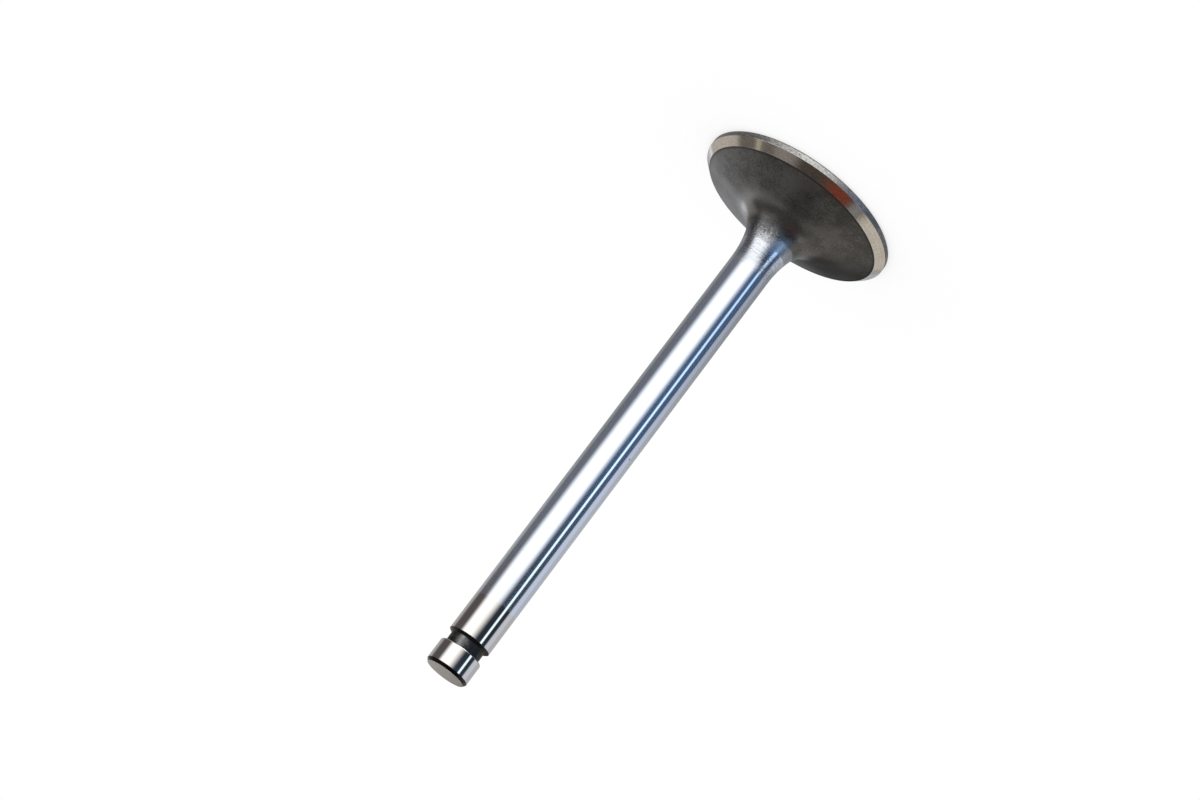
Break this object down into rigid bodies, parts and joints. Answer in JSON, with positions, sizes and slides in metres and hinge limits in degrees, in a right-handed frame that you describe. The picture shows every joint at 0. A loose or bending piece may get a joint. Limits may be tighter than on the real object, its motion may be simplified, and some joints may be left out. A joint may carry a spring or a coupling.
{
  "type": "engine valve",
  "caption": "Poppet valve for an engine: tulip head with a conical seat, slim straight stem and a keeper groove near the flat tip.",
  "frame": {"origin": "centre of the combustion face, which is the lowest face of the standing valve", "axes": "+Z along the stem, from the head towards the tip; the valve is round about Z, so +X and +Y are free"},
  "size_m": [0.0448, 0.0448, 0.126],
  "materials": {
    "valve_steel": "ground and chromed bright on the stem, seat and rim, forged dark grey on the back of the head, dark oxide in the groove"
  },
  "bodies": {
    "root": {"engine_valve": "valve_steel"}
  },
  "joints": []
}
